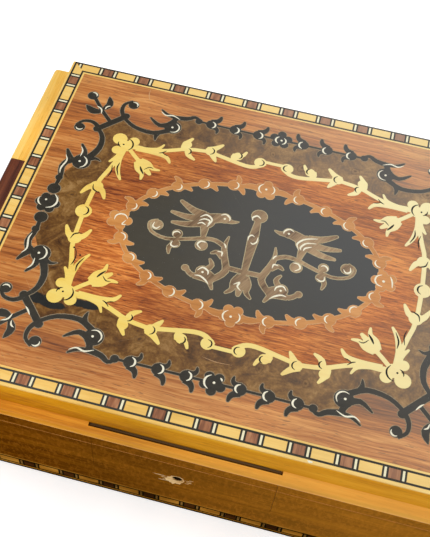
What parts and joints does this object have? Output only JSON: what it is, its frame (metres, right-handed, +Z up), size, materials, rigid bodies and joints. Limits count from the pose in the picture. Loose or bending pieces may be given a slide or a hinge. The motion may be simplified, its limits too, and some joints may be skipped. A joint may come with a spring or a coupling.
{
  "type": "puzzle box",
  "caption": "Inlaid wooden trick box with a hinged lid, a sliding front panel over the keyhole and a key tray hidden in the side moulding.",
  "frame": {"origin": "middle of the footprint, hinge knuckles included, on the face the box rests on", "axes": "+Z up, front with the shutter towards -Y, +X to the right seen from the front"},
  "size_m": [0.2642, 0.2058, 0.078],
  "materials": {
    "carcase_pine": "bare sawn softwood",
    "base_felt": "felt",
    "lining_paper": "matte lining paper",
    "walnut_veneer": "lacquered walnut veneer",
    "ebony": "lacquered dyed pear veneer",
    "boxwood": "lacquered boxwood veneer",
    "brown_wood": "lacquered brown veneer",
    "holly": "lacquered holly veneer",
    "lock_brass": "worn brass",
    "steel": "plain steel",
    "honey_cove": "lacquered, stained moulding",
    "honey_ledge": "lacquered moulding",
    "cherry_field": "lacquered cherry veneer",
    "walnut_burl": "lacquered burl veneer",
    "mahogany": "lacquered mahogany veneer",
    "pearwood": "lacquered pear veneer",
    "olive_wood": "lacquered olive veneer",
    "tray_brown": "stained moulding"
  },
  "bodies": {
    "box": {"front_wall": "carcase_pine", "back_wall": "carcase_pine", "left_wall": "carcase_pine", "right_wall": "carcase_pine", "base_board": "carcase_pine", "base_felt": "base_felt", "floor_lining": "lining_paper", "body_veneer_front": "walnut_veneer", "body_veneer_back": "walnut_veneer", "body_veneer_left": "walnut_veneer", "body_veneer_right": "walnut_veneer", "base_band_lines": "ebony", "base_band_light": "boxwood", "base_band_brown": "brown_wood", "base_band_white": "holly", "lock_case": "lock_brass", "body_screws": "lock_brass", "hinge_body_leaves": "lock_brass", "hinge_pins": "steel"},
    "shutter": {"shutter_board": "walnut_veneer", "shutter_veneer": "walnut_veneer", "shutter_runners": "carcase_pine"},
    "key_tray": {"tray_front": "tray_brown", "tray_box": "carcase_pine", "key": "lock_brass"},
    "bolt": {"lock_bolt": "steel"},
    "lid": {"lid_board": "carcase_pine", "lid_rail_front": "carcase_pine", "lid_rail_back": "carcase_pine", "lid_rail_left": "carcase_pine", "lid_rail_right": "carcase_pine", "lid_veneer_front": "walnut_veneer", "lid_veneer_back": "walnut_veneer", "lid_veneer_left": "walnut_veneer", "lid_veneer_right": "walnut_veneer", "cove_front": "honey_cove", "cove_left": "honey_cove", "cove_right": "honey_cove", "ledge_front": "honey_ledge", "ledge_left_front": "honey_ledge", "ledge_left_rear": "honey_ledge", "ledge_right": "honey_ledge", "lid_lining": "lining_paper", "strike_plate": "lock_brass", "lid_screws": "lock_brass", "hinge_lid_leaves": "lock_brass", "edge_stringing": "boxwood", "band_lines": "ebony", "band_light": "boxwood", "band_brown": "brown_wood", "band_white": "holly", "field_outer": "cherry_field", "scroll_ebony": "ebony", "field_burl": "walnut_burl", "garland_boxwood": "boxwood", "field_mahogany": "mahogany", "wreath": "pearwood", "medallion_ground": "ebony", "medallion_ornament": "olive_wood"}
  },
  "joints": [
    {"name": "lid_hinge", "type": "hinge", "parent": "box", "child": "lid", "pos_m": [0, 0.10075, 0.0502], "axis": [-1, 0, 0], "range_deg": [0, 95]},
    {"name": "shutter_slide", "type": "slide", "parent": "lid", "child": "shutter", "axis": [0, 0, 1], "range_m": [0, 0.014]},
    {"name": "key_tray_slide", "type": "slide", "parent": "lid", "child": "key_tray", "axis": [-1, 0, 0], "range_m": [0, 0.014]},
    {"name": "bolt_slide", "type": "slide", "parent": "box", "child": "bolt", "axis": [0, 0, 1], "range_m": [0, 0.005]}
  ]
}
